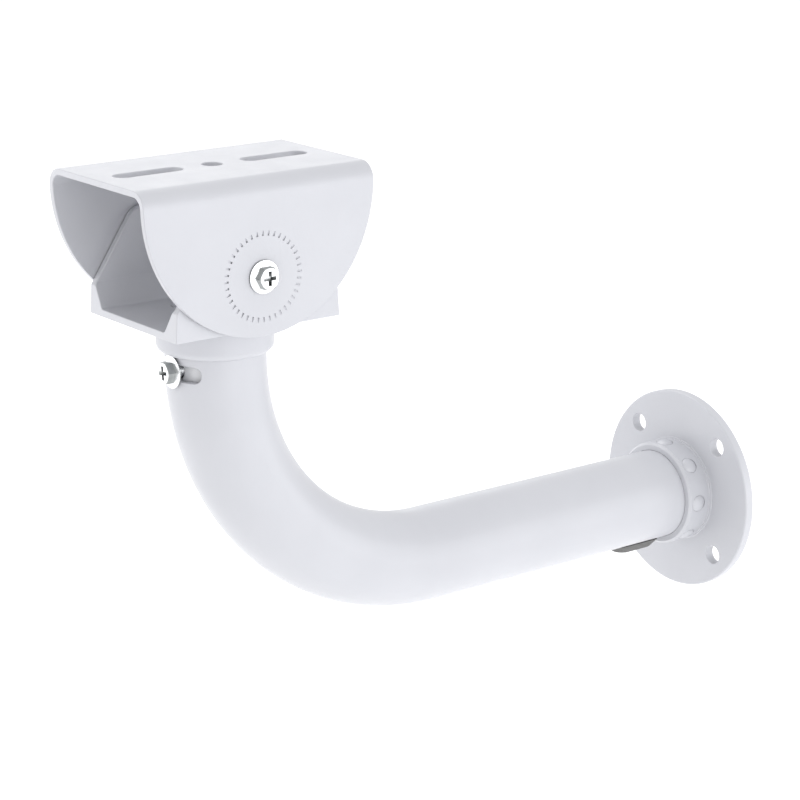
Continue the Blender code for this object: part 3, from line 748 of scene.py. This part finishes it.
def threaded(radius, low, high):
    """A rod with a V thread, its lower end bevelled."""
    bm = bmesh.new()
    sides = THREAD_SIDES
    rows = round((high - low) / THREAD_PITCH * THREAD_ROWS)
    rings = []
    for row in range(rows + 1):
        z = low + (high - low) * row / rows
        ring = []
        for i in range(sides):
            phase = (z / THREAD_PITCH - i / sides) % 1
            groove = THREAD_DEPTH * max(0, 1 - abs(phase - 0.5) / 0.4)
            r = min(radius - groove, radius - THREAD_DEPTH + (z - low))
            angle = math.tau * i / sides
            ring.append(bm.verts.new((r * math.cos(angle), r * math.sin(angle), z)))
        rings.append(ring)
    for first, second in zip(rings, rings[1:]):
        join_rings(bm, first, second)
    bm.faces.new(rings[0])
    bm.faces.new(rings[-1])
    return bm


def hexagon_within(across_flats, crown):
    """A hexagonal prism trimmed by a turned profile, for chamfered corners."""
    corner = across_flats / math.sqrt(3)
    low, high = crown[0][1], crown[-1][1]
    made = add_object("hexagon", prism(circle(corner, 6), low - OVERRUN, high + OVERRUN))
    combine(made, turned(crown, SMALL_SIDES), "INTERSECT")
    return made


def paint_shade_on_sides(obj, matrix):
    """Paints shade on the sides of a screw's head, the rim of its flange and the recess in its top,
    as a darker copy of the plating.
    """
    obj.data.materials.append(painted_shade_zinc)
    inverse = matrix.inverted()
    turn = inverse.to_3x3()
    for face in obj.data.polygons:
        centre, normal = inverse @ face.center, turn @ face.normal
        in_hexagon = centre.z > SCREW_FLANGE + 0.05 * MM and normal.z < 0.97
        if in_hexagon or (centre.z > 0 and abs(normal.z) < 0.3):
            face.material_index = 1


def flange_screw(name, node, length, matrix):
    """A hexagon flange screw with a cross recess. Its origin is under the flange, its head +Z."""
    corner = HEX_ACROSS_FLATS / math.sqrt(3)
    edge = SCREW_FLANGE_EDGE
    washer = rounded([
        (0, 0, 0),
        (SCREW_FLANGE_R, 0, 0.15 * MM),
        (SCREW_FLANGE_R, edge, 0.2 * MM),
        (HEX_ACROSS_FLATS / 2, SCREW_FLANGE, 0),
        (0, SCREW_FLANGE, 0),
    ], 4)
    slope = HEX_TOP_CHAMFER / (corner - HEX_CROWN_R)
    rounding = HEX_CROWN_ROUND
    middle = (HEX_CROWN_R - rounding, HEX_TOP - rounding)
    crown = [
        (0, edge),
        (corner + OVERRUN, edge),
        (corner + OVERRUN, HEX_TOP - HEX_TOP_CHAMFER - OVERRUN * slope),
        *arc(middle, rounding, math.radians(60), math.pi / 2, 4),
        (0, HEX_TOP),
    ]
    head = hexagon_within(HEX_ACROSS_FLATS, crown)
    soften(head, 0.15 * MM, 2)
    combine(head, turned(washer, SMALL_SIDES), "UNION")
    combine(head, cross_recess(HEX_TOP, CROSS_DEPTH), "DIFFERENCE")
    combine(head, threaded(SCREW_R, -length, GAP), "UNION")
    head.name = name
    head.data.transform(matrix)
    finished(head, node, zinc)
    paint_shade_on_sides(head, matrix)


def nut(name, node, matrix):
    corner = NUT_ACROSS_FLATS / math.sqrt(3)
    rim = NUT_ACROSS_FLATS / 2
    crown = [
        (0, 0),
        (rim, 0),
        (corner + NUT_CHAMFER, 2 * NUT_CHAMFER),
        (corner + NUT_CHAMFER, NUT_THICK - 2 * NUT_CHAMFER),
        (rim, NUT_THICK),
        (0, NUT_THICK),
    ]
    made = hexagon_within(NUT_ACROSS_FLATS, crown)
    soften(made, 0.12 * MM, 2)
    combine(made, lipped_hole(SCREW_HOLE_R, 0, NUT_THICK, 0.4 * MM, TINY_SIDES), "DIFFERENCE")
    made.name = name
    made.data.transform(matrix)
    finished(made, node, zinc)


# ---------------------------------------------------------------- swivel head

def spigot_screw_places():
    for i in range(4):
        angle = math.tau * (i + 0.5) / 4
        x, y = SPIGOT_SCREW_CIRCLE_R * math.cos(angle), SPIGOT_SCREW_CIRCLE_R * math.sin(angle)
        yield Matrix.Translation((x, y - REACH, 0))


def swivel_spigot():
    """A round collar on the tube's end, with a hollow plug that turns inside the tube."""
    axis = Matrix.Translation((0, -REACH, 0))
    profile = rounded([
        (0, POCKET_TOP, 0),
        (POCKET_R, POCKET_TOP, 0.8 * MM),
        (POCKET_R, PLUG_BOTTOM, 0.5 * MM),
        (PLUG_R, PLUG_BOTTOM, 0.8 * MM),
        (PLUG_R, SPIGOT_BOTTOM, 0.3 * MM),
        (SPIGOT_COLLAR_R, SPIGOT_BOTTOM, SPIGOT_COLLAR_ROUND),
        (SPIGOT_COLLAR_R, SPIGOT_TOP, 0.4 * MM),
        (0, SPIGOT_TOP, 0),
    ], 10)
    spigot = add_object("swivel_collar", turned(profile, SIDES, axis))
    holes = bmesh.new()
    ends = (SPIGOT_TOP - SPIGOT_SCREW_HOLE, SPIGOT_TOP + OVERRUN)
    for place in spigot_screw_places():
        rod(SPIGOT_SCREW_R + GAP, *ends, TINY_SIDES, place, holes)
    across = pointing((0, -1, 0), (0, -REACH, LOCK_HEIGHT))
    rod(SCREW_HOLE_R, POCKET_R / 2, PLUG_R + OVERRUN, TINY_SIDES, across, holes)
    combine(spigot, holes, "DIFFERENCE")
    finished(spigot, "swivel_spigot", coat)
    spigot.data.materials.append(plug_coat_painted_light)  # painted light: the plug in the slot is painted paler to make up for the shade the slot casts on it
    for face in spigot.data.polygons:
        if face.center.z < TUBE_TOP:
            face.material_index = 1


def spigot_screws():
    """Countersunk cross-recess screws, their 90 degree heads just under the saddle's floor."""
    top = SADDLE_FLOOR - SPIGOT_SCREW_SUNK
    bottom = top - SPIGOT_SCREW_LENGTH
    neck = top - SPIGOT_SCREW_HEAD_R + SPIGOT_SCREW_R
    head = rounded([
        (0, neck - GAP, 0),
        (SPIGOT_SCREW_R - GAP, neck - GAP, 0),
        (SPIGOT_SCREW_HEAD_R, top, 0.15 * MM),
        (0, top, 0),
    ], 4)
    for i, place in enumerate(spigot_screw_places()):
        screw = add_object(f"countersunk_screw_{i + 1}", turned(head, SMALL_SIDES))
        combine(screw, cross_recess(top, CROSS_DEPTH, 0.7), "DIFFERENCE")
        combine(screw, threaded(SPIGOT_SCREW_R, bottom, neck), "UNION")
        turn = Matrix.Rotation(math.radians(25 + 70 * i), 4, "Z")
        screw.data.transform(place @ turn)
        finished(screw, f"spigot_screw_{i + 1}", zinc)


def lower_saddle():
    """A channel along Y with thick inner corners and ends that slant back to a crest."""
    w, wall = SADDLE_HALF_WIDTH, SADDLE_WALL
    over, up = SADDLE_INNER_CHAMFER
    crest = SADDLE_BOTTOM + SADDLE_HEIGHT
    half = [
        (w, SADDLE_BOTTOM, 0),
        (w, crest, 0),
        (w - wall, crest, 0),
        (w - wall, SADDLE_FLOOR + up, 1.5 * MM),
        (w - wall - over, SADDLE_FLOOR, 1.5 * MM),
    ]
    section = rounded(half + [(-x, z, r) for x, z, r in reversed(half)], 6)
    end = SADDLE_HALF_LENGTH + OVERRUN
    saddle = add_object("lower_channel", prism(section, -end, end, "Y"))
    side = [
        (SADDLE_HALF_LENGTH, SADDLE_BOTTOM - OVERRUN, 0),
        (SADDLE_SHOULDER_HALF_LENGTH, SADDLE_BOTTOM + SADDLE_SHOULDER, 1.0 * MM),
        (SADDLE_CREST_HALF_LENGTH, crest, 7.0 * MM),
    ]
    silhouette = rounded(side + [(-u, v, r) for u, v, r in reversed(side)], 14)
    outside = w + OVERRUN
    combine(saddle, prism(silhouette, -outside, outside, "X"), "INTERSECT")
    soften(saddle, 0.4 * MM)
    holes = bmesh.new()
    for side_sign in (-1, 1):
        out = pointing((side_sign, 0, 0), (0, 0, TILT_AXIS.z))
        lipped_hole(SCREW_HOLE_R, w - wall, w, SCREW_HOLE_LIP, TINY_SIDES, out, holes)
    shank = SPIGOT_SCREW_R + GAP
    countersunk = [
        (0, SADDLE_BOTTOM - OVERRUN),
        (shank, SADDLE_BOTTOM - OVERRUN),
        (shank, SADDLE_FLOOR - COUNTERSINK_R + shank),
        (COUNTERSINK_R + OVERRUN, SADDLE_FLOOR + OVERRUN),
        (0, SADDLE_FLOOR + OVERRUN),
    ]
    axis = Matrix.Translation((0, REACH, 0))
    for place in spigot_screw_places():
        turned(countersunk, SMALL_SIDES, axis @ place, bm=holes)
    combine(saddle, holes, "DIFFERENCE")
    saddle.data.transform(Matrix.Translation((0, -REACH, 0)))
    finished(saddle, "lower_saddle", coat)


# ---------------------------------------------------------------- upper saddle

def index_notches(bm, side):
    """A ring of short ramped grooves in a cheek's outer face, deepest at their inner ends."""
    for i in range(INDEX_NOTCHES):
        angle = math.tau * i / INDEX_NOTCHES
        along = Vector((0, math.cos(angle), math.sin(angle)))
        across = Vector((0, -math.sin(angle), math.cos(angle))) * INDEX_WIDTH / 2
        corners = []
        for radius, depth in zip(INDEX_RADII, INDEX_DEPTHS):
            for x, narrow in ((CHEEK_OUT - depth, 0.7), (CHEEK_OUT + OVERRUN, 1.6)):
                middle = along * radius + Vector((side * x, 0, 0))
                ends = (middle - across * narrow, middle + across * narrow)
                corners += [bm.verts.new(end) for end in ends]
        a, b, c, d, e, f, g, h = corners
        bottom_and_top = ((a, b, d, c), (e, f, h, g))
        sides = ((a, b, f, e), (c, d, h, g), (a, c, g, e), (b, d, h, f))
        for face in bottom_and_top + sides:
            bm.faces.new(face)


def upper_saddle():
    """Bent sheet: a top plate, and two cheeks that end in a half-ellipse below the tilt axis."""
    low = CHEEK_CENTRE - CHEEK_DEPTH - OVERRUN
    inside = CHEEK_OUT - SHEET
    section = rounded([
        (CHEEK_OUT, low, 0),
        (CHEEK_OUT, PLATE_TOP, BEND_OUTER_R),
        (-CHEEK_OUT, PLATE_TOP, BEND_OUTER_R),
        (-CHEEK_OUT, low, 0),
        (-inside, low, 0),
        (-inside, PLATE_TOP - SHEET, BEND_OUTER_R - SHEET),
        (inside, PLATE_TOP - SHEET, BEND_OUTER_R - SHEET),
        (inside, low, 0),
    ], 16)
    end, outside, top = PLATE_HALF_LENGTH, CHEEK_OUT + OVERRUN, PLATE_TOP + OVERRUN
    saddle = add_object("upper_saddle_plate", prism(section, -end - OVERRUN, end + OVERRUN, "Y"))
    curve = [math.pi * (1 + i / CHEEK_STEPS) for i in range(CHEEK_STEPS + 1)]
    side = [(end * math.cos(a), CHEEK_CENTRE + CHEEK_DEPTH * math.sin(a)) for a in curve]
    side += [(end, top), (-end, top)]
    combine(saddle, prism(side, -outside, outside, "X"), "INTERSECT")
    soften(saddle, 0.35 * MM)
    holes = bmesh.new()
    plate = (PLATE_TOP - SHEET, PLATE_TOP)
    lip = CAMERA_HOLE_LIP
    lipped_hole(CAMERA_HOLE_R, *plate, lip, SMALL_SIDES, bm=holes)
    for middle in (-CAMERA_SLOT_CENTRE, CAMERA_SLOT_CENTRE):
        outlines = [
            obround(*(half + grow for half in CAMERA_SLOT_HALF), (0, middle))
            for grow in (lip + OVERRUN, 0, 0, lip + OVERRUN)
        ]
        heights = (plate[0] - OVERRUN, plate[0] + lip, plate[1] - lip, plate[1] + OVERRUN)
        loft(list(zip(outlines, heights)), bm=holes)
    for side_sign in (-1, 1):
        out = pointing((side_sign, 0, 0))
        lipped_hole(SCREW_HOLE_R, inside, CHEEK_OUT, SCREW_HOLE_LIP, TINY_SIDES, out, holes)
        index_notches(holes, side_sign)
    combine(saddle, holes, "DIFFERENCE")
    saddle.data.transform(Matrix.Translation(TILT_AXIS))
    finished(saddle, "upper_saddle", coat)


def fasteners():
    """The tilt screws and nuts, and the screw that locks the swivel."""
    inner_wall = SADDLE_HALF_WIDTH - SADDLE_WALL
    for name, side in (("right", 1), ("left", -1)):
        head = TILT_AXIS + Vector((side * (CHEEK_OUT + GAP), 0, 0))
        out = pointing((side, 0, 0), head)
        flange_screw(f"clamp_screw_{name}", f"tilt_screw_{name}", TILT_SCREW_REACH, out)
        seat = TILT_AXIS + Vector((side * (inner_wall - GAP), 0, 0))
        nut(f"clamp_nut_{name}", f"tilt_nut_{name}", pointing((-side, 0, 0), seat))
    lock = pointing((0, -1, 0), (0, -REACH - TUBE_R - GAP, LOCK_HEIGHT))
    turn = Matrix.Rotation(LOCK_SCREW_TURN, 4, "Z")
    flange_screw("lock_screw_swivel", "swivel_lock_screw", LOCK_SCREW_REACH, lock @ turn)


wall_flange()
collar_rivets()
arm_tube()
cable_grommet()
swivel_spigot()
spigot_screws()
lower_saddle()
upper_saddle()
fasteners()


# ---------------------------------------------------------------- floor, light and camera

FLOOR_HEIGHT = -0.30
FLOOR_HALF = 20.0
FLOOR_GLOW = 0.27  # keeps the floor white out to the horizon
WORLD_LIGHT = 0.842
LIGHT_MIDDLE = Vector((0, -0.12, 0.07))
LIGHT_DISTANCE = 2.0
SOFTBOX_ACROSS = 1.6
# Each softbox's azimuth, elevation and watts. Azimuth 0 is ahead of the arm, 90 on its right.
SOFTBOXES = {
    "right": (90, 4, 12.2),
    "right_rear": (135, 4, 7.95),
    "left_rear": (250, 17, 3.95),
    "left_high": (270, 60, 15.6),
    "left_front": (315, 4, 10.05),
}
SOFTBOX_COLOUR = (0.955, 0.966, 1.0)
# The camera's angles in degrees, its lens and sensor in millimetres, and its place
CAMERA_AZIMUTH = 52.34
CAMERA_ELEVATION = 16.07
CAMERA_ROLL = 0.17
CAMERA_LENS = 113.33
CAMERA_SENSOR = 36
CAMERA_PLACE = (0.78544, -0.76880, 0.35473)


def floor():
    bm = bmesh.new()
    corners = [(-1, -1), (1, -1), (1, 1), (-1, 1)]
    places = [(x * FLOOR_HALF, y * FLOOR_HALF, FLOOR_HEIGHT) for x, y in corners]
    bm.faces.new([bm.verts.new(place) for place in places])
    made = add_object("floor", bm)
    look, _, shader, _ = shader_nodes("studio_floor")
    shader.inputs["Base Color"].default_value = (0.92, 0.92, 0.92, 1)
    shader.inputs["Roughness"].default_value = 0.9
    shader.inputs["Emission Color"].default_value = (1, 1, 1, 1)
    shader.inputs["Emission Strength"].default_value = FLOOR_GLOW
    made.data.materials.append(look)


def world():
    made = bpy.data.worlds.new("studio")
    made.use_nodes = True
    background = made.node_tree.nodes["Background"]
    background.inputs["Color"].default_value = (1, 1, 1, 1)
    background.inputs["Strength"].default_value = WORLD_LIGHT
    bpy.context.scene.world = made


def away(azimuth, elevation):
    """The direction from the object to something at an azimuth and elevation in degrees."""
    azimuth, elevation = math.radians(azimuth), math.radians(elevation)
    level = math.cos(elevation)
    return Vector((math.sin(azimuth) * level, -math.cos(azimuth) * level, math.sin(elevation)))


def softbox(name, direction, watts):
    """A round light that faces the object's middle from a direction."""
    lamp = bpy.data.lights.new(name, "AREA")
    lamp.shape = "DISK"
    lamp.size = SOFTBOX_ACROSS
    lamp.energy = watts
    lamp.color = SOFTBOX_COLOUR
    made = bpy.data.objects.new(name, lamp)
    bpy.context.scene.collection.objects.link(made)
    out = Vector(direction).normalized()
    made.matrix_world = pointing(out, LIGHT_MIDDLE + out * LIGHT_DISTANCE)
    made.visible_camera = False


def camera():
    """Looks down on the arm from its right, ahead of the wall."""
    back, roll = away(CAMERA_AZIMUTH, CAMERA_ELEVATION), math.radians(CAMERA_ROLL)
    right = Vector((0, 0, 1)).cross(back).normalized()
    up = back.cross(right)
    across = right * math.cos(roll) + up * math.sin(roll)
    above = up * math.cos(roll) - right * math.sin(roll)
    lens = bpy.data.cameras.new("camera")
    lens.sensor_width = CAMERA_SENSOR
    lens.lens = CAMERA_LENS
    lens.clip_start = 0.01
    lens.clip_end = 100
    made = bpy.data.objects.new("camera", lens)
    bpy.context.scene.collection.objects.link(made)
    made.matrix_world = Matrix((across, above, back)).transposed().to_4x4()
    made.location = CAMERA_PLACE
    bpy.context.scene.camera = made


floor()
world()
for name, (azimuth, elevation, watts) in SOFTBOXES.items():
    softbox(f"softbox_{name}", away(azimuth, elevation), watts)
camera()
bpy.context.scene.view_settings.view_transform = "Standard"
